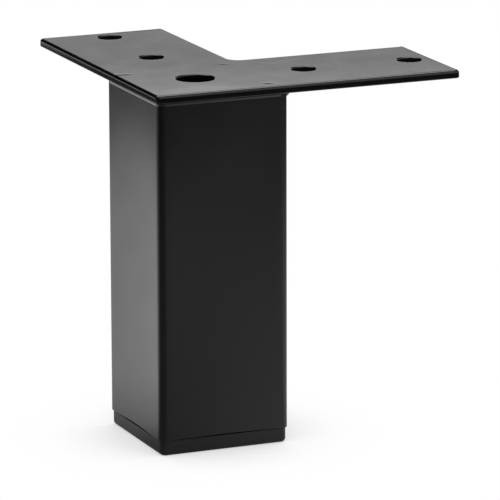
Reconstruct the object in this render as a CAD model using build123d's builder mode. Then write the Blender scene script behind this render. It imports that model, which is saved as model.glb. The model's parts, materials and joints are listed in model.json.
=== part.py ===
from build123d import *
import os

# A furniture leg: a square steel tube welded under an L-shaped mounting plate, closed
# below by a moulded plastic foot insert. The origin is the middle of the foot's sole,
# +Z points up, and the plate's two arms run along +X and +Y. All lengths are millimetres.

# Square tube
tube_width = 50.0
tube_wall = 1.5
tube_corner_radius = 2.6
tube_length = 123.5
tube_end_round = 0.3

# Mounting plate
plate_thickness = 3.0
plate_length = 118.0
plate_overhang = 1.0
arm_setback = 1.5
plate_corner_radius = 1.6
notch_radius = 4.4
plate_top_round = 1.0
plate_under_round = 0.5

# Holes in the plate
screw_hole_diameter = 9.0
screw_hole_spacing = 42.0
screw_hole_end_margin = 9.0
centre_hole_diameter = 14.0
hole_edge_chamfer = 0.3

# Foot insert
foot_head_height = 5.5
foot_head_inset = 0.5
foot_corner_radius = 2.4
sole_edge_round = 1.5
head_edge_round = 0.25
skirt_height = 20.0
skirt_wall = 1.8
skirt_corner_radius = 1.5
skirt_lead_in = 0.8
web_thickness = 1.6
web_drop = 4.0

# Grip fins round the insert's skirt
fin_rows = 4
fin_pitch = 4.2
fin_thickness = 1.1
fin_reach = 1.6
fin_slope = 30.0
fin_tip_clearance = 0.1
fin_corner_gap = 7.0

# Weld seams
outer_weld_drop = 1.1
outer_weld_hollow = 0.25
inner_weld_leg = 3.0
inner_weld_crown = 0.4
weld_end_margin = 0.5

# Places that follow from the sizes
tube_half = tube_width / 2
bore_width = tube_width - 2 * tube_wall
bore_corner_radius = max(tube_corner_radius - tube_wall, tube_wall / 3)
tube_bottom = foot_head_height
tube_top = tube_bottom + tube_length
plate_top = tube_top + plate_thickness
outer_edge = -tube_half - plate_overhang
arm_width = tube_width + plate_overhang - arm_setback
inner_edge = outer_edge + arm_width
far_edge = outer_edge + plate_length
hole_line = outer_edge + arm_width / 2
far_hole = far_edge - screw_hole_end_margin
near_hole = far_hole - screw_hole_spacing
flat_half = tube_half - tube_corner_radius

os.makedirs("parts", exist_ok=True)


# Mounting plate: one flat piece cut to an L, with rounded corners, its edges softer above
# than below
with BuildPart() as mounting_plate:
    with BuildSketch(Plane.XY.offset(tube_top)):
        with BuildLine():
            Polyline(
                (outer_edge, outer_edge),
                (far_edge, outer_edge),
                (far_edge, inner_edge),
                (inner_edge, inner_edge),
                (inner_edge, far_edge),
                (outer_edge, far_edge),
                close=True,
            )
        plate_outline = make_face()
        notch_corner = plate_outline.vertices().sort_by_distance((inner_edge, inner_edge, tube_top))[0]
        outside_corners = plate_outline.vertices().sort_by_distance((inner_edge, inner_edge, tube_top))[1:]
        fillet(outside_corners, plate_corner_radius)
        fillet(notch_corner, notch_radius)
    extrude(amount=plate_thickness)
    fillet(mounting_plate.edges().group_by(Axis.Z)[-1], plate_top_round)
    fillet(mounting_plate.edges().group_by(Axis.Z)[0], plate_under_round)
    with Locations(
        (far_hole, hole_line, plate_top),
        (near_hole, hole_line, plate_top),
        (hole_line, near_hole, plate_top),
        (hole_line, far_hole, plate_top),
    ):
        Hole(screw_hole_diameter / 2)
    with Locations((hole_line, hole_line, plate_top)):
        Hole(centre_hole_diameter / 2)
    hole_rims = mounting_plate.edges().filter_by(GeomType.CIRCLE).filter_by(
        lambda edge: edge.is_closed
    )
    chamfer(hole_rims, hole_edge_chamfer)
mounting_plate.part.label = "mounting_plate"
export_step(mounting_plate.part, "parts/mounting_plate.step")


# Leg tube: open at both ends, its lower outside edge deburred
with BuildPart() as leg_tube:
    with BuildSketch(Plane.XY.offset(tube_bottom)):
        RectangleRounded(tube_width, tube_width, tube_corner_radius)
        RectangleRounded(bore_width, bore_width, bore_corner_radius, mode=Mode.SUBTRACT)
    extrude(amount=tube_length)
    lower_face = leg_tube.faces().sort_by(Axis.Z)[0]
    fillet(lower_face.outer_wire().edges(), tube_end_round)
leg_tube.part.label = "leg_tube"
export_step(leg_tube.part, "parts/leg_tube.step")


# Foot insert: a moulded head that closes the tube, with a hollow skirt pushed inside,
# stiffened by a crossed web and held by rows of sloping fins along its four sides
head_width = tube_width - 2 * foot_head_inset
fin_tip_width = bore_width - 2 * fin_tip_clearance
skirt_width = fin_tip_width - 2 * fin_reach
skirt_bore = skirt_width - 2 * skirt_wall
skirt_top = foot_head_height + skirt_height
fin_side_length = fin_tip_width - 2 * fin_corner_gap
first_fin = foot_head_height + fin_pitch - fin_thickness

with BuildPart() as foot_insert:
    with BuildSketch():
        RectangleRounded(head_width, head_width, foot_corner_radius)
    extrude(amount=foot_head_height)
    fillet(foot_insert.edges().group_by(Axis.Z)[0], sole_edge_round)
    fillet(foot_insert.edges().group_by(Axis.Z)[-1], head_edge_round)
    with BuildSketch(Plane.XY.offset(foot_head_height)):
        RectangleRounded(skirt_width, skirt_width, skirt_corner_radius)
    extrude(amount=skirt_height)
    chamfer(foot_insert.edges().group_by(Axis.Z)[-1], skirt_lead_in)
    with BuildSketch(Plane.XY.offset(skirt_top)):
        RectangleRounded(skirt_bore, skirt_bore, skirt_corner_radius)
    extrude(amount=-skirt_height, mode=Mode.SUBTRACT)
    with BuildSketch(Plane.XY.offset(foot_head_height)):
        Rectangle(skirt_width - skirt_wall, web_thickness)
        Rectangle(web_thickness, skirt_width - skirt_wall)
    extrude(amount=skirt_height - web_drop)
    for row in range(fin_rows):
        with BuildSketch(Plane.XY.offset(first_fin + row * fin_pitch)):
            Rectangle(fin_tip_width, fin_side_length)
            Rectangle(fin_side_length, fin_tip_width)
            Rectangle(skirt_bore + skirt_wall, skirt_bore + skirt_wall, mode=Mode.SUBTRACT)
        extrude(amount=fin_thickness, taper=fin_slope)
foot_insert.part.label = "foot_insert"
export_step(foot_insert.part, "parts/foot_insert.step")


# Outer weld seam: a small hollow fillet in the step under the plate's edge, running
# along the tube's two outer faces and round the corner between them
outer_weld_reach = plate_overhang - plate_under_round
outer_weld_end = flat_half - weld_end_margin

with BuildPart() as outer_weld:
    with BuildLine() as outer_weld_path:
        first_run = Line((-tube_half, outer_weld_end, tube_top), (-tube_half, -flat_half, tube_top))
        corner_run = RadiusArc(
            first_run @ 1,
            (-flat_half, -tube_half, tube_top),
            -tube_corner_radius,
        )
        Line(corner_run @ 1, (outer_weld_end, -tube_half, tube_top))
    with BuildSketch(Plane(first_run @ 0, x_dir=(-1, 0, 0), z_dir=(0, 1, 0))):
        with BuildLine():
            Line((0, 0), (outer_weld_reach, 0))
            Line((0, 0), (0, -outer_weld_drop))
            Bezier(
                (outer_weld_reach, 0),
                (outer_weld_hollow * outer_weld_reach, -outer_weld_hollow * outer_weld_drop),
                (0, -outer_weld_drop),
            )
        make_face()
    sweep(path=outer_weld_path.line)
outer_weld.part.label = "outer_weld"
export_step(outer_weld.part, "parts/outer_weld.step")


# Inner weld seams: one bead under each arm, in the corner between the arm's underside
# and the tube, with a crowned face and rounded ends
bead_run = 2 * (flat_half - inner_weld_leg - weld_end_margin)
bead_start = Plane((tube_half, bead_run / 2, tube_top), x_dir=(1, 0, 0), z_dir=(0, -1, 0))
bead_end = bead_start.offset(bead_run)

with BuildSketch() as bead_section:
    with BuildLine():
        Polyline((0, -inner_weld_leg), (0, 0), (inner_weld_leg, 0))
        SagittaArc((inner_weld_leg, 0), (0, -inner_weld_leg), inner_weld_crown)
    make_face()

with BuildPart() as arm_x_weld:
    with BuildSketch(bead_start):
        add(bead_section.sketch)
    extrude(amount=bead_run)
    with BuildSketch(bead_start):
        add(bead_section.sketch)
    revolve(axis=Axis(bead_start.origin, (0, 0, 1)), revolution_arc=90)
    with BuildSketch(bead_end):
        add(bead_section.sketch)
    revolve(axis=Axis(bead_end.origin, (0, 0, 1)), revolution_arc=-90)
arm_x_weld.part.label = "arm_x_weld"
export_step(arm_x_weld.part, "parts/arm_x_weld.step")

with BuildPart() as arm_y_weld:
    mirror(arm_x_weld.part, about=Plane((0, 0, 0), z_dir=(1, -1, 0)))
arm_y_weld.part.label = "arm_y_weld"
export_step(arm_y_weld.part, "parts/arm_y_weld.step")
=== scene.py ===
"""Dresses a satin black furniture leg and stands it in a plain pale studio."""

import json
import logging
import math
from abc import ABC, abstractmethod
from dataclasses import dataclass, field, replace
from enum import Enum
from typing import Callable, Iterable, Optional, Union

import bmesh
import bpy
from mathutils import Matrix, Vector

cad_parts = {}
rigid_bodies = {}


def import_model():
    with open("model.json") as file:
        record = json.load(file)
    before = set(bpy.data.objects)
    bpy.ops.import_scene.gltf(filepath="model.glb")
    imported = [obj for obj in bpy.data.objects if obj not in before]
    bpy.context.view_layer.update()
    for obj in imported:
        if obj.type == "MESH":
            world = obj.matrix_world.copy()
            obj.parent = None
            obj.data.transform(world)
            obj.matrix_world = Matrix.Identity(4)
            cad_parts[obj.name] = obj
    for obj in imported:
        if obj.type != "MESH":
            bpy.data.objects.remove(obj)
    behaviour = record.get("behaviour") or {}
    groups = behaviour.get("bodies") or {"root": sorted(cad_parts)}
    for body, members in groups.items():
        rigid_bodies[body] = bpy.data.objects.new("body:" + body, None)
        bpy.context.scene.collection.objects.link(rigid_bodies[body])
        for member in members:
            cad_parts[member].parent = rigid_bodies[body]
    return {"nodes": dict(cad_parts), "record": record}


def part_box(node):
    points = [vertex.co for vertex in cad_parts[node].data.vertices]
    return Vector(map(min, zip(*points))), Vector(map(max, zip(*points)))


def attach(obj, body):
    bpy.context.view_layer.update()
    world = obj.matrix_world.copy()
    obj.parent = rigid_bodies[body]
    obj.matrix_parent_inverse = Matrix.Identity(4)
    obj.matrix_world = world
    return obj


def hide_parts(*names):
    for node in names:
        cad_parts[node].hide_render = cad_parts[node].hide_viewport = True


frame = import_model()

logging.basicConfig(level=logging.INFO, format="%(message)s")
log = logging.getLogger("leg")

Colour = tuple[float, float, float, float]
Point = tuple[float, float, float]
Span = tuple[float, float]
Stops = tuple[tuple[float, float], ...]
Socket = bpy.types.NodeSocket
Value = Union[Socket, float]

BODY = "root"

# Lengths are in metres. Places within TOUCH of each other count as the same when a part of a mesh
# is picked, and points within ONE_PLACE of each other are merged.
MM = 0.001
TOUCH = 0.02 * MM
ONE_PLACE = TOUCH / 20

# Faces that fold by less than FLAT_ANGLE are one flat, by less than SOFT_ANGLE one curve, and by
# more than SHARP_ANGLE they meet in an edge that may be rounded.
FLAT_ANGLE = math.radians(1)
SOFT_ANGLE = math.radians(40)
SHARP_ANGLE = math.radians(60)

UP = Vector((0.0, 0.0, 1.0))
QUARTER_TURN = math.pi / 2

# The bevel profile that follows a circle
ARC_PROFILE = 0.5


# Sizes from the frame

MOUNTS = {mount["name"]: mount for mount in frame["record"]["mounts"]}
PLATE_LOW, PLATE_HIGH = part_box("mounting_plate")
TUBE_LOW, TUBE_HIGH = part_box("leg_tube")
PLATE_TOP = PLATE_HIGH.z
PLATE_UNDER = PLATE_LOW.z
TUBE_HALF = (TUBE_HIGH.x - TUBE_LOW.x) / 2


class Arm(Enum):
    """The plate's two arms, each by the axis that it runs along."""

    X = 0
    Y = 1

    def direction(self) -> Vector:
        """Gives the direction that the arm runs in."""
        return Vector((1.0 - self.value, float(self.value), 0.0))


class Element(Enum):
    """What an edit-mode operator works on."""

    VERTEX = "VERT"
    EDGE = "EDGE"
    FACE = "FACE"


class Run(Enum):
    """How a value runs between the two ends of its range."""

    STRAIGHT = "LINEAR"
    SMOOTH = "SMOOTHSTEP"
    SMOOTHER = "SMOOTHERSTEP"


def grey(level: float) -> Colour:
    """Gives a neutral linear colour, from black at level 0 to white at level 1."""
    return (level, level, level, 1.0)


def ease(share: float) -> float:
    """Softens a share between 0 and 1 at both of its ends."""
    return share * share * (3 - 2 * share)


# Ways to work on a mesh


def deselect_everything() -> None:
    """Clears the selection, so that an operator acts only on what is chosen next."""
    for thing in bpy.context.view_layer.objects:
        thing.select_set(False)
    bpy.context.view_layer.objects.active = None


def take(piece: bpy.types.Object) -> None:
    """Makes a piece the only one selected, and the active one.

    Args:
        piece: The object.
    """
    deselect_everything()
    piece.select_set(True)
    bpy.context.view_layer.objects.active = piece


def newest(name: str) -> bpy.types.Object:
    """Names the object that the last operator made, and its mesh.

    Args:
        name: The piece's name.

    Returns:
        The object.
    """
    piece = bpy.context.view_layer.objects.active
    piece.name = name
    piece.data.name = name
    return piece


def choose(piece: bpy.types.Object, kind: Element, test: Callable[..., bool]) -> int:
    """Selects vertices, edges or faces of the piece in edit mode.

    Args:
        piece: The object that is in edit mode.
        kind: What is selected.
        test: Says of a bmesh element whether it is to be selected.

    Returns:
        How many were selected.
    """
    bpy.ops.mesh.select_mode(type=kind.value)
    bpy.ops.mesh.select_all(action="DESELECT")
    shape = bmesh.from_edit_mesh(piece.data)
    every = {Element.VERTEX: shape.verts, Element.EDGE: shape.edges, Element.FACE: shape.faces}
    chosen = [part for part in every[kind] if test(part)]
    for part in chosen:
        part.select_set(True)
    shape.select_flush_mode()
    bmesh.update_edit_mesh(piece.data)
    return len(chosen)


def middle(edge: bmesh.types.BMEdge) -> Vector:
    """Gives the middle of an edge."""
    return (edge.verts[0].co + edge.verts[1].co) / 2


def near(value: float, target: float) -> bool:
    """Says whether two lengths are the same within the modelling tolerance."""
    return abs(value - target) < TOUCH


def is_upright(edge: bmesh.types.BMEdge) -> bool:
    """Says whether an edge runs along Z."""
    run = edge.verts[1].co - edge.verts[0].co
    return run.xy.length < TOUCH < abs(run.z)


def is_sharp(edge: bmesh.types.BMEdge) -> bool:
    """Says whether an edge's two faces meet at a sharp angle."""
    return edge.calc_face_angle(0.0) > SHARP_ANGLE


def is_level(face: bmesh.types.BMFace) -> bool:
    """Says whether a face looks straight up or down."""
    return abs(face.normal.z) > math.cos(FLAT_ANGLE)


def stands_at(vertex: bmesh.types.BMVert, places: Iterable[Vector]) -> bool:
    """Says whether a vertex lies at one of some places."""
    return any((vertex.co - place).length < TOUCH for place in places)


def round_off(width: float, segments: int, kind: Element = Element.EDGE) -> None:
    """Rounds the selected edges or corners to an arc, in edit mode.

    Args:
        width: How far the rounding reaches.
        segments: How many flats the arc has.
        kind: Whether edges or the corners at vertices are rounded.
    """
    affect = "VERTICES" if kind is Element.VERTEX else "EDGES"
    bpy.ops.mesh.bevel(offset=width, segments=segments, profile=ARC_PROFILE, affect=affect)


def merge_doubles() -> None:
    """Merges the mesh's doubled points, in edit mode."""
    bpy.ops.mesh.select_all(action="SELECT")
    bpy.ops.mesh.remove_doubles(threshold=ONE_PLACE)


def face_outwards() -> None:
    """Turns every face of the mesh outwards, in edit mode."""
    bpy.ops.mesh.select_all(action="SELECT")
    bpy.ops.mesh.normals_make_consistent(inside=False)


def clean(piece: bpy.types.Object) -> None:
    """Merges a piece's doubled points and turns its faces outwards.

    Args:
        piece: The object.
    """
    take(piece)
    bpy.ops.object.mode_set(mode="EDIT")
    merge_doubles()
    face_outwards()
    bpy.ops.object.mode_set(mode="OBJECT")


def finish_modifiers(piece: bpy.types.Object) -> None:
    """Applies every modifier on the piece, in order.

    Args:
        piece: The object.
    """
    take(piece)
    for name in [modifier.name for modifier in piece.modifiers]:
        bpy.ops.object.modifier_apply(modifier=name)


def settle(piece: bpy.types.Object) -> None:
    """Puts the piece's place into its mesh, with its object at the origin."""
    take(piece)
    bpy.ops.object.transform_apply(location=True, rotation=True, scale=True)


def smooth(piece: bpy.types.Object, angle: float = SOFT_ANGLE) -> None:
    """Shades the piece smooth between faces that meet at a small angle, and keeps flats flat.

    Args:
        piece: The object.
        angle: The largest angle between two faces that still reads as one curve.
    """
    take(piece)
    bpy.ops.object.shade_smooth_by_angle(angle=angle)
    weighted = piece.modifiers.new("flat faces", "WEIGHTED_NORMAL")
    weighted.keep_sharp = True
    finish_modifiers(piece)


def press_in(piece: bpy.types.Object, share_at: Callable[[Vector], float], depth: float) -> None:
    """Moves the piece's skin inwards, more at some places than at others.

    Args:
        piece: The object.
        share_at: Gives the share of the depth, from 0 to 1, by which a vertex moves.
        depth: How far the skin moves where the share is 1.
    """
    shares = piece.vertex_groups.new(name="pressed in")
    for vertex in piece.data.vertices:
        shares.add([vertex.index], share_at(vertex.co), "REPLACE")
    press = piece.modifiers.new("pressed in", "DISPLACE")
    press.vertex_group = shares.name
    press.mid_level = 0.0
    press.strength = -depth
    finish_modifiers(piece)


def level_square(name: str, size: float, centre: Point) -> bpy.types.Object:
    """Adds a level square sheet.

    Args:
        name: The object's name.
        size: The length of its sides.
        centre: Its middle.

    Returns:
        The object.
    """
    deselect_everything()
    bpy.ops.mesh.primitive_plane_add(size=size, location=centre)
    square = newest(name)
    settle(square)
    return square


def copy_of_node(node: str, name: str) -> bpy.types.Object:
    """Copies a CAD node and merges its loose triangles.

    Args:
        node: The CAD node.
        name: The new piece's name.

    Returns:
        The copy, with its own mesh.
    """
    source = frame["nodes"][node]
    piece = bpy.data.objects.new(name, source.data.copy())
    piece.data.name = name
    piece.data.materials.clear()
    bpy.context.scene.collection.objects.link(piece)
    clean(piece)
    return piece


# The leg's pieces


@dataclass
class Piece(ABC):
    """A visible piece of the leg, with the CAD node and the unused record slot that it stands for."""

    name: str
    node: str
    slot: str = "powder_coat"

    @abstractmethod
    def build(self) -> bpy.types.Object:
        """Models the piece and gives the finished object."""

    def dress(self, finish: bpy.types.Material) -> None:
        """Builds the piece, gives it its finish and body, and hides the CAD node it stands for.

        Args:
            finish: Its material.
        """
        piece = self.build()
        piece.data.materials.clear()
        piece.data.materials.append(finish)
        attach(piece, BODY)
        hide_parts(self.node)
        log.info("%s: %d faces, stands for %s", piece.name, len(piece.data.polygons), self.node)


@dataclass(frozen=True)
class Hole:
    """A round hole in the plate."""

    x: float
    y: float
    radius: float
    sides: int

    def has_on_rim(self, places: Iterable[Vector]) -> bool:
        """Says whether all of some places lie on the hole's circle, at any height."""
        return all(near((place.xy - Vector((self.x, self.y))).length, self.radius) for place in places)


def screw_holes(arm: Arm, sides: int = 72) -> list[Hole]:
    """Lists one arm's screw holes from the record.

    Args:
        arm: The arm.
        sides: How many flats each hole's wall has.

    Returns:
        Its two holes.
    """
    letter = arm.name.lower()
    mount = MOUNTS[f"arm_{letter}_holes"]
    step = arm.direction() * (mount["dims"][f"spacing_{letter}_mm"] * MM / 2)
    radius = mount["dims"]["hole_r_mm"] * MM
    return [Hole(*(Vector(mount["pos_m"]) + step * side).xy, radius, sides) for side in (-1, 1)]


def plate_holes(centre_sides: int = 96) -> list[Hole]:
    """Lists the plate's holes from the record.

    Args:
        centre_sides: How many flats the centre hole's wall has.

    Returns:
        The two screw holes of each arm, and the centre hole.
    """
    centre = MOUNTS["centre_hole"]
    centre_hole = Hole(*centre["pos_m"][:2], centre["dims"]["r_mm"] * MM, centre_sides)
    return [*screw_holes(Arm.X), *screw_holes(Arm.Y), centre_hole]


@dataclass
class MountingPlate(Piece):
    """The flat L-shaped plate with its rounded corners and edges, and its punched holes."""

    name: str = "plate"
    node: str = "mounting_plate"
    arm_width: float = 49.5 * MM
    corner_radius: float = 1.6 * MM
    corner_segments: int = 8
    notch_radius: float = 4.4 * MM
    notch_segments: int = 10
    top_round: float = 1.1 * MM
    under_round: float = 0.4 * MM
    edge_segments: int = 8
    rim_round: float = 0.55 * MM
    rim_segments: int = 4
    drill_margin: float = 1.6 * MM
    holes: list[Hole] = field(default_factory=plate_holes)

    @property
    def inner(self) -> float:
        """The place of the two arms' inner sides."""
        return PLATE_LOW.x + self.arm_width

    def build(self) -> bpy.types.Object:
        """Models the plate: a corner square, two arms drawn out of it, round corners, thickness.

        Returns:
            The finished object.
        """
        square_middle = PLATE_LOW.x + self.arm_width / 2
        piece = level_square(self.name, self.arm_width, (square_middle, square_middle, PLATE_UNDER))
        bpy.ops.object.mode_set(mode="EDIT")
        self.draw_arms(piece)
        self.round_corners(piece)
        choose(piece, Element.FACE, lambda face: True)
        bpy.ops.mesh.extrude_region_move(
            TRANSFORM_OT_translate={"value": (0, 0, PLATE_TOP - PLATE_UNDER)}
        )
        face_outwards()
        bpy.ops.object.mode_set(mode="OBJECT")
        for hole in self.holes:
            self.cut_hole(piece, hole)
        self.round_edges(piece)
        clean(piece)
        smooth(piece)
        return piece

    def draw_arms(self, piece: bpy.types.Object) -> None:
        """Draws the two arms out of the corner square, as one flat face.

        Args:
            piece: The corner square, in edit mode.
        """
        inner = self.inner
        reach = PLATE_HIGH.x - inner
        choose(piece, Element.EDGE, lambda edge: near(middle(edge).x, inner))
        bpy.ops.mesh.extrude_region_move(TRANSFORM_OT_translate={"value": (reach, 0, 0)})
        choose(
            piece,
            Element.EDGE,
            lambda edge: near(middle(edge).y, inner) and middle(edge).x < inner - TOUCH,
        )
        bpy.ops.mesh.extrude_region_move(TRANSFORM_OT_translate={"value": (0, reach, 0)})
        bpy.ops.mesh.select_mode(type=Element.FACE.value)
        bpy.ops.mesh.select_all(action="SELECT")
        bpy.ops.mesh.dissolve_limited(angle_limit=FLAT_ANGLE)

    def round_corners(self, piece: bpy.types.Object) -> None:
        """Rounds the notch between the arms, and then the five corners that point outwards.

        Args:
            piece: The flat L, in edit mode.
        """
        low, high, inner = PLATE_LOW.x, PLATE_HIGH.x, self.inner
        outside = ((low, low), (high, low), (high, inner), (inner, high), (low, high))
        notch = Vector((inner, inner, PLATE_UNDER))
        corners = [Vector((x, y, PLATE_UNDER)) for x, y in outside]
        choose(piece, Element.VERTEX, lambda vertex: stands_at(vertex, [notch]))
        round_off(self.notch_radius, self.notch_segments, Element.VERTEX)
        choose(piece, Element.VERTEX, lambda vertex: stands_at(vertex, corners))
        round_off(self.corner_radius, self.corner_segments, Element.VERTEX)

    def cut_hole(self, piece: bpy.types.Object, hole: Hole) -> None:
        """Cuts a round hole through the plate.

        Args:
            piece: The plate.
            hole: The hole.
        """
        low = PLATE_UNDER - self.drill_margin
        high = PLATE_TOP + self.drill_margin
        deselect_everything()
        bpy.ops.mesh.primitive_cylinder_add(
            vertices=hole.sides,
            radius=hole.radius,
            depth=high - low,
            location=(hole.x, hole.y, (low + high) / 2),
        )
        drill = newest("drill")
        cut = piece.modifiers.new("hole", "BOOLEAN")
        cut.operation = "DIFFERENCE"
        cut.solver = "EXACT"
        cut.object = drill
        finish_modifiers(piece)
        bpy.data.objects.remove(drill)

    def on_rim(self, edge: bmesh.types.BMEdge) -> bool:
        """Says whether an edge lies on the rim of a hole."""
        ends = [vertex.co for vertex in edge.verts]
        return near(ends[0].z, ends[1].z) and any(hole.has_on_rim(ends) for hole in self.holes)

    def on_outline(self, edge: bmesh.types.BMEdge, level: float) -> bool:
        """Says whether an edge lies on the plate's outline at a height."""
        return is_sharp(edge) and near(middle(edge).z, level) and not self.on_rim(edge)

    def round_edges(self, piece: bpy.types.Object) -> None:
        """Rounds the plate's outline, above and below, and the rims of the holes.

        Args:
            piece: The plate, with its holes.
        """
        take(piece)
        bpy.ops.object.mode_set(mode="EDIT")
        for level, size in ((PLATE_TOP, self.top_round), (PLATE_UNDER, self.under_round)):
            choose(piece, Element.EDGE, lambda edge: self.on_outline(edge, level))
            round_off(size, self.edge_segments)
        choose(piece, Element.EDGE, self.on_rim)
        round_off(self.rim_round, self.rim_segments)
        bpy.ops.object.mode_set(mode="OBJECT")


@dataclass
class LegTube(Piece):
    """The square tube, open at both ends, with faces that the rolling left slightly hollow.

    The hollow has its full depth up to the height hollow_full, and fades out towards the plate.
    """

    name: str = "tube"
    node: str = "leg_tube"
    wall: float = 1.5 * MM
    corner_radius: float = 2.6 * MM
    corner_segments: int = 10
    end_round: float = 0.3 * MM
    end_segments: int = 3
    hollow: float = 0.45 * MM
    hollow_full: float = 90.0 * MM
    columns: int = 20

    @property
    def flat_half(self) -> float:
        """Half the width of a face's flat part."""
        return TUBE_HALF - self.corner_radius

    def build(self) -> bpy.types.Object:
        """Models the tube: a box without ends, rounded upright corners, and its wall.

        Returns:
            The finished object.
        """
        deselect_everything()
        bpy.ops.mesh.primitive_cube_add(size=1, location=(TUBE_LOW + TUBE_HIGH) / 2)
        piece = newest(self.name)
        piece.scale = TUBE_HIGH - TUBE_LOW
        settle(piece)
        bpy.ops.object.mode_set(mode="EDIT")
        choose(piece, Element.FACE, is_level)
        bpy.ops.mesh.delete(type="ONLY_FACE")
        choose(piece, Element.EDGE, is_upright)
        round_off(self.corner_radius, self.corner_segments)
        face_outwards()
        bpy.ops.object.mode_set(mode="OBJECT")
        wall = piece.modifiers.new("wall", "SOLIDIFY")
        wall.thickness = self.wall
        wall.offset = -1.0
        wall.use_even_offset = True
        finish_modifiers(piece)
        bpy.ops.object.mode_set(mode="EDIT")
        choose(piece, Element.EDGE, self.on_lower_end)
        round_off(self.end_round, self.end_segments)
        self.divide_faces(piece)
        bpy.ops.object.mode_set(mode="OBJECT")
        press_in(piece, self.hollow_share, self.hollow)
        clean(piece)
        smooth(piece)
        return piece

    def is_outside(self, place: Vector) -> bool:
        """Says whether a place lies on the tube's outer skin."""
        return max(abs(place.x), abs(place.y)) > TUBE_HALF - self.wall / 2

    def on_lower_end(self, edge: bmesh.types.BMEdge) -> bool:
        """Says whether an edge lies on the outer rim of the tube's lower end."""
        level = all(near(vertex.co.z, TUBE_LOW.z) for vertex in edge.verts)
        return level and self.is_outside(middle(edge)) and is_sharp(edge)

    def crosses_a_face(self, edge: bmesh.types.BMEdge) -> bool:
        """Says whether an edge runs level across one of the tube's faces."""
        run = edge.verts[1].co - edge.verts[0].co
        return abs(run.z) < TOUCH and run.length > self.flat_half

    def is_long(self, edge: bmesh.types.BMEdge) -> bool:
        """Says whether an edge runs up the tube."""
        return is_upright(edge) and edge.calc_length() > self.flat_half

    def divide_faces(self, piece: bpy.types.Object) -> None:
        """Divides the tube's faces across and along, so that they can be curved.

        Args:
            piece: The tube, in edit mode.
        """
        for test in (self.crosses_a_face, self.is_long):
            choose(piece, Element.EDGE, test)
            bpy.ops.mesh.subdivide(number_cuts=self.columns - 1)

    def hollow_share(self, place: Vector) -> float:
        """Says how deep the hollow of the tube's outer faces is at a place.

        Args:
            place: The place on the tube's skin.

        Returns:
            The share of the full depth, which is largest along the middle of each face.
        """
        across = min(abs(place.x), abs(place.y))
        if not self.is_outside(place) or across >= self.flat_half:
            return 0.0
        fade = min(1.0, (TUBE_HIGH.z - place.z) / (TUBE_HIGH.z - self.hollow_full))
        return (1 - (across / self.flat_half) ** 2) * ease(fade)


@dataclass
class FootInsert(Piece):
    """The moulded plastic insert that closes the tube's lower end."""

    name: str = "foot"
    node: str = "foot_insert"
    slot: str = "foot_plastic"
    curve_angle: float = math.radians(35)

    def build(self) -> bpy.types.Object:
        """Takes the moulding's form from its node and gives it smooth curves.

        Returns:
            The finished object.
        """
        piece = copy_of_node(self.node, self.name)
        smooth(piece, self.curve_angle)
        return piece


@dataclass
class OuterSeam(Piece):
    """The thin seam under the plate's outer edges, with a fine groove above it."""

    name: str = "seam_outer"
    node: str = "outer_weld"
    reach: float = 0.4 * MM
    groove: float = 0.3 * MM
    path_radius: float = 2.6 * MM
    path_segments: int = 10

    def build(self) -> bpy.types.Object:
        """Models the seam: a line round the tube's two outer faces, made a thin wedge.

        Returns:
            The finished object.
        """
        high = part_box(self.node)[1]
        level = high.z - self.groove - self.reach
        self.draw_path(TUBE_LOW.x, high.x, level)
        line = bpy.context.view_layer.objects.active
        line.data.bevel_depth = self.reach
        line.data.bevel_resolution = 0
        line.data.use_fill_caps = True
        bpy.ops.object.convert(target="MESH")
        piece = newest(self.name)
        bpy.ops.object.mode_set(mode="EDIT")
        choose(piece, Element.VERTEX, lambda vertex: near(vertex.co.z, level))
        bpy.ops.transform.translate(value=(0, 0, self.reach))
        bpy.ops.object.mode_set(mode="OBJECT")
        clean(piece)
        smooth(piece)
        return piece

    def draw_path(self, start: float, end: float, level: float) -> None:
        """Draws the line that the seam follows, as the active curve.

        Args:
            start: The place of the tube's two outer faces.
            end: How far the seam runs along both.
            level: The line's height.
        """
        centre = (start + end) / 2
        piece = level_square(self.name, end - start, (centre, centre, level))
        bpy.ops.object.mode_set(mode="EDIT")
        corner = Vector((start, start, level))
        choose(piece, Element.VERTEX, lambda vertex: stands_at(vertex, [corner]))
        round_off(self.path_radius, self.path_segments, Element.VERTEX)
        far_corner = Vector((end, end, level))
        choose(piece, Element.VERTEX, lambda vertex: stands_at(vertex, [far_corner]))
        bpy.ops.mesh.delete(type="VERT")
        bpy.ops.object.mode_set(mode="OBJECT")
        take(piece)
        bpy.ops.object.convert(target="CURVE")


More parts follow.
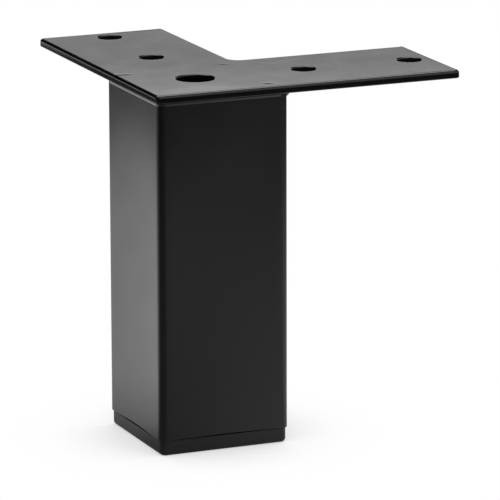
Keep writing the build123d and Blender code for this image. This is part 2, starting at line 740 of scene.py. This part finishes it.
@dataclass
class InnerBead(Piece):
    """A rippled weld bead in the corner between the tube and one arm's underside.

    The ripples stand a pitch apart, and between their crests the bead is drawn in by the ripple's
    share of the radius. Towards the bead's two sides they trail behind, by the lag at one radian
    from its middle.
    """

    arm: Arm = Arm.X
    radius: float = 2.95 * MM
    pitch: float = 1.9 * MM
    ripple: float = 0.07
    lag: float = 1.1 * MM
    sides: int = 48
    rings: int = 260

    def build(self) -> bpy.types.Object:
        """Models the bead: a rod in the corner, rippled and rounded at its ends, cut to a quarter.

        Returns:
            The finished object.
        """
        low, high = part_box(self.node)
        out = self.arm.direction()
        across = self.arm.value
        along = 1 - across
        run = high[along] - low[along]
        corner = out * low[across] + UP * high.z
        deselect_everything()
        bpy.ops.mesh.primitive_cylinder_add(
            vertices=self.sides,
            radius=self.radius,
            depth=run,
            end_fill_type="NOTHING",
            location=corner,
            rotation=tuple(out * QUARTER_TURN),
        )
        piece = newest(self.name)
        settle(piece)
        bpy.ops.object.mode_set(mode="EDIT")
        choose(piece, Element.EDGE, lambda edge: edge.calc_length() > run / 2)
        bpy.ops.mesh.subdivide(number_cuts=self.rings - 1)
        bpy.ops.object.mode_set(mode="OBJECT")
        press_in(piece, lambda place: 1 - self.width_at(place - corner, run), self.radius)
        bpy.ops.object.mode_set(mode="EDIT")
        for normal in (UP, -out):
            bpy.ops.mesh.select_all(action="SELECT")
            bpy.ops.mesh.bisect(plane_co=corner, plane_no=normal, use_fill=True, clear_outer=True)
        merge_doubles()
        if choose(piece, Element.EDGE, lambda edge: edge.is_boundary):
            bpy.ops.mesh.edge_face_add()
        bpy.ops.object.mode_set(mode="OBJECT")
        clean(piece)
        smooth(piece)
        return piece

    def width_at(self, place: Vector, run: float) -> float:
        """Says how thick the rod is at a place on its skin.

        Args:
            place: The place, from the middle of the rod's axis.
            run: The rod's length.

        Returns:
            The share of the full radius.
        """
        across = self.arm.value
        along = 1 - across
        lean = abs(math.atan2(-place.z, place[across]) - QUARTER_TURN / 2)
        step = (place[along] + self.lag * lean * lean) / self.pitch
        crest = 1 - abs(math.sin(math.pi * step))
        to_end = max(0.0, 1 - (run / 2 - abs(place[along])) / self.radius)
        return math.sqrt(max(0.0, 1 - to_end * to_end)) * (1 - self.ripple * (1 - crest))


# Materials


class NodeBoard:
    """A short way to place shader nodes and join them."""

    def __init__(self, tree: bpy.types.NodeTree) -> None:
        """Takes the node tree to work on."""
        self.tree = tree

    def place(self, kind: str, **settings: object) -> bpy.types.Node:
        """Adds a node.

        Args:
            kind: The node's type name.
            **settings: Its properties.

        Returns:
            The node.
        """
        node = self.tree.nodes.new(kind)
        for key, value in settings.items():
            setattr(node, key, value)
        return node

    def join(self, source: Socket, target: Socket) -> None:
        """Links an output to an input."""
        self.tree.links.new(source, target)

    def feed(self, value: Value, target: Socket) -> None:
        """Links an output to an input, or gives the input a number.

        Args:
            value: The output or the number.
            target: The input.
        """
        if isinstance(value, Socket):
            self.join(value, target)
        else:
            target.default_value = value

    def work_out(self, kind: str, *values: Value) -> Socket:
        """Works out a value from one or more others.

        Args:
            kind: The Math node's operation.
            *values: What it works on, in the node's order.

        Returns:
            The result's socket.
        """
        node = self.place("ShaderNodeMath", operation=kind)
        for socket, value in zip(node.inputs, values):
            self.feed(value, socket)
        return node.outputs[0]

    def length(self, place: Socket) -> Socket:
        """Measures how far a place is from the origin.

        Args:
            place: The place.

        Returns:
            The distance's socket.
        """
        node = self.place("ShaderNodeVectorMath", operation="LENGTH")
        self.join(place, node.inputs[0])
        return node.outputs["Value"]

    def distance_along(self, place: Socket, direction: Vector) -> Socket:
        """Measures how far along a direction a place lies.

        Args:
            place: The place.
            direction: The direction.

        Returns:
            The distance's socket.
        """
        node = self.place("ShaderNodeVectorMath", operation="DOT_PRODUCT")
        self.join(place, node.inputs[0])
        node.inputs[1].default_value = direction
        return node.outputs["Value"]

    def blend(self, share: Value, first: Value, second: Value) -> Socket:
        """Mixes two values.

        Args:
            share: The second value's share.
            first: The first value.
            second: The second value.

        Returns:
            The mixed value's socket.
        """
        node = self.place("ShaderNodeMix", data_type="FLOAT")
        for label, value in (("Factor", share), ("A", first), ("B", second)):
            self.feed(value, node.inputs[label])
        return node.outputs["Result"]

    def carry_over(
        self, value: Socket, source: Span, target: Span, run: Run = Run.STRAIGHT
    ) -> Socket:
        """Carries a value from one range over to another and holds it there.

        Args:
            value: The value.
            source: The first range's two ends.
            target: The second range's two ends.
            run: How the value runs between the ends.

        Returns:
            The new value's socket.
        """
        node = self.place("ShaderNodeMapRange", interpolation_type=run.value)
        for label, end in zip(("From Min", "From Max", "To Min", "To Max"), (*source, *target)):
            node.inputs[label].default_value = end
        self.join(value, node.inputs["Value"])
        return node.outputs["Result"]

    def level_along(self, value: Socket, stops: Stops) -> Socket:
        """Reads a level off straight runs between stops.

        Args:
            value: Where along the stops, from 0 to 1.
            stops: Each stop's place and level.

        Returns:
            The level's socket.
        """
        node = self.place("ShaderNodeValToRGB")
        elements = node.color_ramp.elements
        while len(elements) < len(stops):
            elements.new(1.0)
        for element, (place, level) in zip(elements, stops):
            element.position = place
            element.color = grey(level)
        self.join(value, node.inputs["Fac"])
        return node.outputs["Color"]


def new_group(name: str, inputs: dict[str, tuple[str, object]], outputs: dict[str, str]) -> NodeBoard:
    """Starts a shader node group with named inputs and outputs.

    Args:
        name: The group's name.
        inputs: Each input's socket type and default value.
        outputs: Each output's socket type.

    Returns:
        A board on the group's tree.
    """
    tree = bpy.data.node_groups.new(name, "ShaderNodeTree")
    for label, (kind, default) in inputs.items():
        socket = tree.interface.new_socket(name=label, in_out="INPUT", socket_type=kind)
        socket.default_value = default
    for label, kind in outputs.items():
        tree.interface.new_socket(name=label, in_out="OUTPUT", socket_type=kind)
    return NodeBoard(tree)


def peel_group(grain_detail: float = 2.0, flow_detail: float = 3.0) -> bpy.types.NodeTree:
    """Makes the group that gives a sprayed or moulded skin its fine unevenness.

    Args:
        grain_detail: How many finer layers the fine texture has.
        flow_detail: How many finer layers the slow texture has.

    Returns:
        The group: Grain and Flow are the sizes of its two textures, as repeats in a metre.
    """
    board = new_group(
        "skin unevenness",
        {
            "Grain": ("NodeSocketFloat", 2200.0),
            "Flow": ("NodeSocketFloat", 90.0),
            "Flow share": ("NodeSocketFloat", 0.3),
        },
        {"Height": "NodeSocketFloat", "Mottle": "NodeSocketFloat"},
    )
    entry = board.place("NodeGroupInput")
    leave = board.place("NodeGroupOutput")
    where = board.place("ShaderNodeTexCoord")
    fine = board.place("ShaderNodeTexNoise")
    slow = board.place("ShaderNodeTexNoise")
    for texture, scale, detail in ((fine, "Grain", grain_detail), (slow, "Flow", flow_detail)):
        texture.inputs["Detail"].default_value = detail
        board.join(where.outputs["Object"], texture.inputs["Vector"])
        board.join(entry.outputs[scale], texture.inputs["Scale"])
    flow = board.work_out("MULTIPLY", slow.outputs["Fac"], entry.outputs["Flow share"])
    board.join(board.work_out("ADD", fine.outputs["Fac"], flow), leave.inputs["Height"])
    board.join(slow.outputs["Fac"], leave.inputs["Mottle"])
    return board.tree


def swelling_group() -> bpy.types.NodeTree:
    """Makes the group for one faint oval swelling of a surface.

    Returns:
        The group: Height is 1 at Centre and falls to 0 at Reach, which Turn has turned.
    """
    board = new_group(
        "faint swelling",
        {
            "Centre": ("NodeSocketVector", (0.0, 0.0, 0.0)),
            "Turn": ("NodeSocketVector", (0.0, 0.0, 0.0)),
            "Reach": ("NodeSocketVector", (0.004, 0.001, 0.002)),
        },
        {"Height": "NodeSocketFloat"},
    )
    entry = board.place("NodeGroupInput")
    leave = board.place("NodeGroupOutput")
    where = board.place("ShaderNodeTexCoord")
    local = board.place("ShaderNodeMapping", vector_type="TEXTURE")
    board.join(where.outputs["Object"], local.inputs["Vector"])
    for label, target in (("Centre", "Location"), ("Turn", "Rotation"), ("Reach", "Scale")):
        board.join(entry.outputs[label], local.inputs[target])
    out = board.length(local.outputs["Vector"])
    height = board.carry_over(out, (1.0, 0.0), (0.0, 1.0), Run.SMOOTHER)
    board.join(height, leave.inputs["Height"])
    return board.tree


@dataclass(frozen=True)
class Swelling:
    """A faint oval swelling on the plate's top, such as a weld below leaves, turned in radians."""

    x: float
    y: float
    turn: float
    length: float
    width: float
    height: float


@dataclass(frozen=True)
class GlossFade:
    """How a level skin grows duller in one direction, between a start and an end.

    A skin is level where the upward part of its normal is above level_from.
    """

    direction: tuple[float, float]
    start: float
    end: float
    least: float
    most: float
    level_from: float = 0.98


@dataclass(frozen=True)
class SkinFinish:
    """A black skin: its colour, gloss and fine unevenness.

    The colour and the roughness each lie between two values, by the slow mottle of the skin.
    """

    name: str
    colour: Colour
    lighter: Colour
    roughness: float
    rougher: float
    refraction: float
    grain: float
    flow: float
    flow_share: float
    bump_height: float
    mottle: Span = (0.3, 0.7)
    swellings: tuple[Swelling, ...] = ()
    fade: Optional[GlossFade] = None

    def make(self, peel: bpy.types.NodeTree, swelling: bpy.types.NodeTree) -> bpy.types.Material:
        """Builds the material.

        Args:
            peel: The group for fine unevenness.
            swelling: The group for one swelling.

        Returns:
            The material.
        """
        material = bpy.data.materials.new(self.name)
        material.use_nodes = True
        material.node_tree.nodes.clear()
        board = NodeBoard(material.node_tree)
        leave = board.place("ShaderNodeOutputMaterial")
        skin = board.place("ShaderNodeBsdfPrincipled")
        skin.inputs["IOR"].default_value = self.refraction
        board.join(skin.outputs["BSDF"], leave.inputs["Surface"])
        uneven = board.place("ShaderNodeGroup", node_tree=peel)
        uneven.inputs["Grain"].default_value = self.grain
        uneven.inputs["Flow"].default_value = self.flow
        uneven.inputs["Flow share"].default_value = self.flow_share
        tone = board.place("ShaderNodeMix", data_type="RGBA")
        tone.inputs["A"].default_value = self.colour
        tone.inputs["B"].default_value = self.lighter
        board.join(uneven.outputs["Mottle"], tone.inputs["Factor"])
        board.join(tone.outputs["Result"], skin.inputs["Base Color"])
        board.join(self.gloss(board, uneven.outputs["Mottle"]), skin.inputs["Roughness"])
        bump = board.place("ShaderNodeBump")
        bump.inputs["Strength"].default_value = 1.0
        bump.inputs["Distance"].default_value = 1.0
        relief = self.relief(board, uneven.outputs["Height"], swelling)
        board.join(relief, bump.inputs["Height"])
        board.join(bump.outputs["Normal"], skin.inputs["Normal"])
        return material

    def gloss(self, board: NodeBoard, mottle: Socket) -> Socket:
        """Works out the skin's roughness, with its fade where it has one.

        Args:
            board: The material's board.
            mottle: The skin's slow mottle.

        Returns:
            The roughness's socket.
        """
        even = board.carry_over(mottle, self.mottle, (self.roughness, self.rougher))
        if self.fade is None:
            return even
        where = board.place("ShaderNodeTexCoord").outputs["Object"]
        along = board.distance_along(where, Vector((*self.fade.direction, 0.0)))
        reach = (self.fade.start, self.fade.end)
        duller = board.carry_over(along, reach, (self.fade.least, self.fade.most), Run.SMOOTH)
        facing = board.place("ShaderNodeNewGeometry")
        parts = board.place("ShaderNodeSeparateXYZ")
        board.join(facing.outputs["Normal"], parts.inputs[0])
        level = board.work_out("GREATER_THAN", parts.outputs["Z"], self.fade.level_from)
        return board.work_out("MULTIPLY_ADD", duller, level, even)

    def relief(self, board: NodeBoard, unevenness: Socket, swelling: bpy.types.NodeTree) -> Socket:
        """Works out how high the skin stands: its fine unevenness and its swellings.

        Args:
            board: The material's board.
            unevenness: The height of the fine unevenness, from 0 to about 1.
            swelling: The group for one swelling.

        Returns:
            The height's socket.
        """
        height = board.work_out("MULTIPLY", unevenness, self.bump_height)
        for mark in self.swellings:
            spot = board.place("ShaderNodeGroup", node_tree=swelling)
            spot.inputs["Centre"].default_value = (mark.x, mark.y, PLATE_TOP)
            spot.inputs["Turn"].default_value = (0.0, 0.0, mark.turn)
            spot.inputs["Reach"].default_value = (mark.length / 2, mark.width / 2, mark.length / 2)
            height = board.work_out("MULTIPLY_ADD", spot.outputs["Height"], mark.height, height)
        return height


# Studio


@dataclass(frozen=True)
class Lamp:
    """A soft box: where it stands, what it faces, how large and how bright it is."""

    name: str
    place: Point
    aim: Point
    width: float
    height: float
    watts: float

    def add(self) -> None:
        """Adds the lamp to the scene."""
        data = bpy.data.lights.new(self.name, "AREA")
        data.shape = "RECTANGLE"
        data.size = self.width
        data.size_y = self.height
        data.energy = self.watts
        lamp = bpy.data.objects.new(self.name, data)
        lamp.location = self.place
        lamp.rotation_mode = "QUATERNION"
        lamp.rotation_quaternion = (Vector(self.aim) - Vector(self.place)).to_track_quat("-Z", "Y")
        bpy.context.scene.collection.objects.link(lamp)


@dataclass(frozen=True)
class PhotoCamera:
    """The camera that took the photograph, as fitted to the leg's edges and holes.

    Its angles are in degrees, its distance runs from the middle of the sole, and it is then moved
    to the right and up within its own picture plane.
    """

    azimuth: float = -22.91
    elevation: float = 13.57
    roll: float = -0.17
    distance: float = 1.68549
    aim_right: float = 0.01858
    aim_up: float = 0.0665
    focal_pixels: float = 4624.1
    frame_pixels: float = 500.0
    sensor: float = 36.0
    nearest: float = 0.01
    furthest: float = 50.0

    def add(self) -> None:
        """Adds the camera and makes it the scene's own."""
        angles = (self.azimuth, self.elevation, self.roll)
        turn, lift, lean = (math.radians(angle) for angle in angles)
        back = Vector(
            (math.sin(turn) * math.cos(lift), -math.cos(turn) * math.cos(lift), math.sin(lift))
        )
        level = Vector((math.cos(turn), math.sin(turn), 0.0))
        rise = back.cross(level)
        right = level * math.cos(lean) + rise * math.sin(lean)
        up = rise * math.cos(lean) - level * math.sin(lean)
        data = bpy.data.cameras.new("camera")
        data.sensor_width = self.sensor
        data.lens = self.focal_pixels / self.frame_pixels * self.sensor
        data.clip_start = self.nearest
        data.clip_end = self.furthest
        camera = bpy.data.objects.new("camera", data)
        place = right * self.aim_right + up * self.aim_up + back * self.distance
        camera.matrix_world = Matrix.Translation(place) @ Matrix((right, up, back)).transposed().to_4x4()
        bpy.context.scene.collection.objects.link(camera)
        bpy.context.scene.camera = camera


# The level direction in which the camera sees the white sheet mirrored in the tube's left face,
# and the one to its left
SHEET = Vector((-0.389, 0.921, 0.0))
SHEET_LEFT = Vector((-SHEET.y, SHEET.x, 0.0))


def turn_stops(*stops: tuple[float, float]) -> Stops:
    """Turns stops in degrees to the left of the sheet's direction into shares of a turn."""
    return tuple((0.5 + degrees / 360.0, level) for degrees, level in stops)


def share_of_turn(board: NodeBoard, place: Socket) -> Socket:
    """Says in which level direction a place lies, for stops that turn_stops has made.

    Args:
        board: The board to place the nodes on.
        place: The place or direction.

    Returns:
        0.5 in the sheet's direction, more to its left and less to its right, by 1 for a whole turn.
    """
    ahead = board.distance_along(place, SHEET)
    aside = board.distance_along(place, SHEET_LEFT)
    angle = board.work_out("ARCTAN2", aside, ahead)
    return board.work_out("MULTIPLY_ADD", angle, 0.5 / math.pi, 0.5)


@dataclass(frozen=True)
class Studio:
    """The pale floor, the white surround and the soft box above.

    To the camera the floor and the surround are white. Mirrored in the black skin they are a white
    sheet behind on the left, a backdrop straight behind, a window high in front on the right and a
    darker front, as in a photographer's tent that is open towards the camera.

    Their levels are set by stops. Those of sheet_reach and front_depth count metres from the leg,
    and those of front_reach count metres to the right, from a line that lies front_start to the
    leg's left. Those of a height run from straight down at 0 to straight up at 1.
    """

    floor_size: float = 6.0
    floor_tone: float = 0.8
    shadow_reach: float = 0.05
    shadow_samples: int = 8
    shadow_openness: Span = (0.2, 0.95)
    shadow_levels: Span = (0.6, 1.0)
    fill_light: float = 0.5
    sheet_reach: Stops = (
        (0.03, 0.55), (0.1, 1.02), (0.18, 1.1), (0.46, 1.1),
        (0.53, 0.4), (0.6, 0.03), (0.77, 0.0), (0.83, 1.1),
    )
    sheet_sides: Stops = turn_stops(
        (-180, 0.0), (-140, 0.0), (-100, 0.3), (-45, 0.03),
        (-10, 0.03), (-1, 1.1), (40, 1.0), (78, 0.0),
    )
    front_start: float = 0.2
    front_reach: Stops = ((0.0, 0.14), (0.15, 0.14), (0.26, 0.8), (0.36, 0.7), (0.5, 0.4))
    front_depth: Stops = ((0.0, 1.0), (0.42, 1.0), (0.56, 0.05))
    backdrop_height: Stops = ((0.0, 1.05), (0.57, 1.05), (0.6, 0.0))
    backdrop_sides: Stops = turn_stops(
        (-180, 0.6), (-90, 0.9), (-60, 1.0), (-35, 1.0), (-15, 0.0), (120, 0.0), (150, 0.6)
    )
    window_height: Stops = ((0.58, 0.0), (0.64, 0.9), (0.75, 0.9), (0.83, 0.0))
    window_sides: Stops = turn_stops((-180, 1.0), (-120, 0.6), (-90, 0.0), (120, 0.0), (150, 1.0))
    top_box: Lamp = Lamp(
        name="top box",
        place=(0.0, 0.35, 1.3),
        aim=(0.0, 0.0, 0.05),
        width=1.4,
        height=1.0,
        watts=14.0,
    )

    def build(self) -> None:
        """Adds the floor, the surround and the lamp."""
        floor = level_square("floor", self.floor_size, (0.0, 0.0, 0.0))
        floor.data.materials.append(self.floor_material())
        self.make_world()
        self.top_box.add()

    def mirrored_floor(self, board: NodeBoard) -> Socket:
        """Works out how bright the floor looks in the leg's skin, place by place.

        Args:
            board: The floor's board.

        Returns:
            The level's socket.
        """
        where = board.place("ShaderNodeTexCoord").outputs["Object"]
        reach = board.length(where)
        sheet = board.level_along(reach, self.sheet_reach)
        aside = board.work_out("ADD", board.distance_along(where, -SHEET_LEFT), self.front_start)
        front = board.work_out(
            "MULTIPLY",
            board.level_along(aside, self.front_reach),
            board.level_along(reach, self.front_depth),
        )
        gate = board.level_along(share_of_turn(board, where), self.sheet_sides)
        return board.blend(gate, front, sheet)

    def floor_material(self) -> bpy.types.Material:
        """Builds the floor: pale under the lamp, white to the camera, with the leg's soft shadow.

        Returns:
            The material.
        """
        material = bpy.data.materials.new("pale floor")
        material.use_nodes = True
        material.node_tree.nodes.clear()
        board = NodeBoard(material.node_tree)
        leave = board.place("ShaderNodeOutputMaterial")
        ray = board.place("ShaderNodeLightPath")
        seen = board.work_out("ADD", ray.outputs["Is Camera Ray"], ray.outputs["Is Glossy Ray"])
        seen = board.work_out("ADD", seen, ray.outputs["Is Transmission Ray"])
        matt = board.place("ShaderNodeBsdfDiffuse")
        matt.inputs["Color"].default_value = grey(self.floor_tone)
        shade = board.place("ShaderNodeAmbientOcclusion", samples=self.shadow_samples)
        shade.inputs["Distance"].default_value = self.shadow_reach
        shadow = board.carry_over(
            shade.outputs["AO"], self.shadow_openness, self.shadow_levels, Run.SMOOTH
        )
        mirrored = board.blend(ray.outputs["Is Glossy Ray"], 1.0, self.mirrored_floor(board))
        glow = board.place("ShaderNodeEmission")
        board.join(board.work_out("MULTIPLY", shadow, mirrored), glow.inputs["Strength"])
        blend = board.place("ShaderNodeMixShader")
        board.join(board.work_out("MINIMUM", seen, 1.0), blend.inputs["Fac"])
        board.join(matt.outputs["BSDF"], blend.inputs[1])
        board.join(glow.outputs["Emission"], blend.inputs[2])
        board.join(blend.outputs["Shader"], leave.inputs["Surface"])
        return material

    def make_world(self) -> None:
        """Builds the world: white where it is seen, the backdrop where it is mirrored, dim else."""
        world = bpy.data.worlds.new("surround")
        world.use_nodes = True
        world.node_tree.nodes.clear()
        board = NodeBoard(world.node_tree)
        leave = board.place("ShaderNodeOutputWorld")
        ray = board.place("ShaderNodeLightPath")
        where = board.place("ShaderNodeTexCoord").outputs["Generated"]
        parts = board.place("ShaderNodeSeparateXYZ")
        board.join(where, parts.inputs[0])
        rise = board.work_out("ARCSINE", parts.outputs["Z"])
        height = board.work_out("MULTIPLY_ADD", rise, 1 / math.pi, 0.5)
        turn = share_of_turn(board, where)
        backdrop = board.work_out(
            "MULTIPLY",
            board.level_along(height, self.backdrop_height),
            board.level_along(turn, self.backdrop_sides),
        )
        window = board.work_out(
            "MULTIPLY",
            board.level_along(height, self.window_height),
            board.level_along(turn, self.window_sides),
        )
        mirrored = board.work_out("ADD", backdrop, window)
        seen = board.work_out("ADD", ray.outputs["Is Camera Ray"], ray.outputs["Is Transmission Ray"])
        plain = board.blend(board.work_out("MINIMUM", seen, 1.0), self.fill_light, 1.0)
        strength = board.blend(ray.outputs["Is Glossy Ray"], plain, mirrored)
        surround = board.place("ShaderNodeBackground")
        board.join(strength, surround.inputs["Strength"])
        surround.inputs["Color"].default_value = grey(1.0)
        board.join(surround.outputs["Background"], leave.inputs["Surface"])
        bpy.context.scene.world = world


COAT = SkinFinish(
    name="satin powder coat",
    colour=grey(0.003),
    lighter=grey(0.004),
    roughness=0.23,
    rougher=0.27,
    refraction=1.6,
    grain=2200.0,
    flow=90.0,
    flow_share=0.3,
    bump_height=0.012 * MM,
)
PLATE_COAT = replace(
    COAT,
    name="satin powder coat on the plate",
    roughness=0.115,
    rougher=0.145,
    swellings=(
        Swelling(
            x=-22.65 * MM, y=15.6 * MM, turn=-0.08, length=10.0 * MM, width=4.4 * MM, height=0.16 * MM
        ),
        Swelling(
            x=18.0 * MM, y=18.8 * MM, turn=-0.31, length=5.0 * MM, width=3.0 * MM, height=0.2 * MM
        ),
        Swelling(
            x=19.2 * MM, y=-19.8 * MM, turn=-0.42, length=6.0 * MM, width=4.4 * MM, height=0.14 * MM
        ),
        Swelling(
            x=-9.0 * MM, y=-27.0 * MM, turn=0.0, length=44.0 * MM, width=30.0 * MM, height=0.15 * MM
        ),
    ),
    fade=GlossFade(direction=(0.4, 1.0), start=-45.0 * MM, end=45.0 * MM, least=0.07, most=0.16),
)
PLASTIC = SkinFinish(
    name="moulded foot plastic",
    colour=grey(0.010),
    lighter=grey(0.012),
    roughness=0.4,
    rougher=0.46,
    refraction=1.5,
    grain=1500.0,
    flow=60.0,
    flow_share=0.2,
    bump_height=0.008 * MM,
)


def main() -> None:
    """Builds the leg's pieces, dresses them, and sets the studio and the camera."""
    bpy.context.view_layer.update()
    peel = peel_group()
    swelling = swelling_group()
    coat, plate_coat, plastic = (skin.make(peel, swelling) for skin in (COAT, PLATE_COAT, PLASTIC))
    MountingPlate().dress(plate_coat)
    LegTube().dress(coat)
    FootInsert().dress(plastic)
    OuterSeam().dress(plate_coat)
    InnerBead("seam_x", "arm_x_weld", arm=Arm.X).dress(coat)
    InnerBead("seam_y", "arm_y_weld", arm=Arm.Y).dress(coat)
    Studio().build()
    PhotoCamera().add()
    bpy.context.scene.view_settings.view_transform = "Standard"


if __name__ == "__main__":
    main()
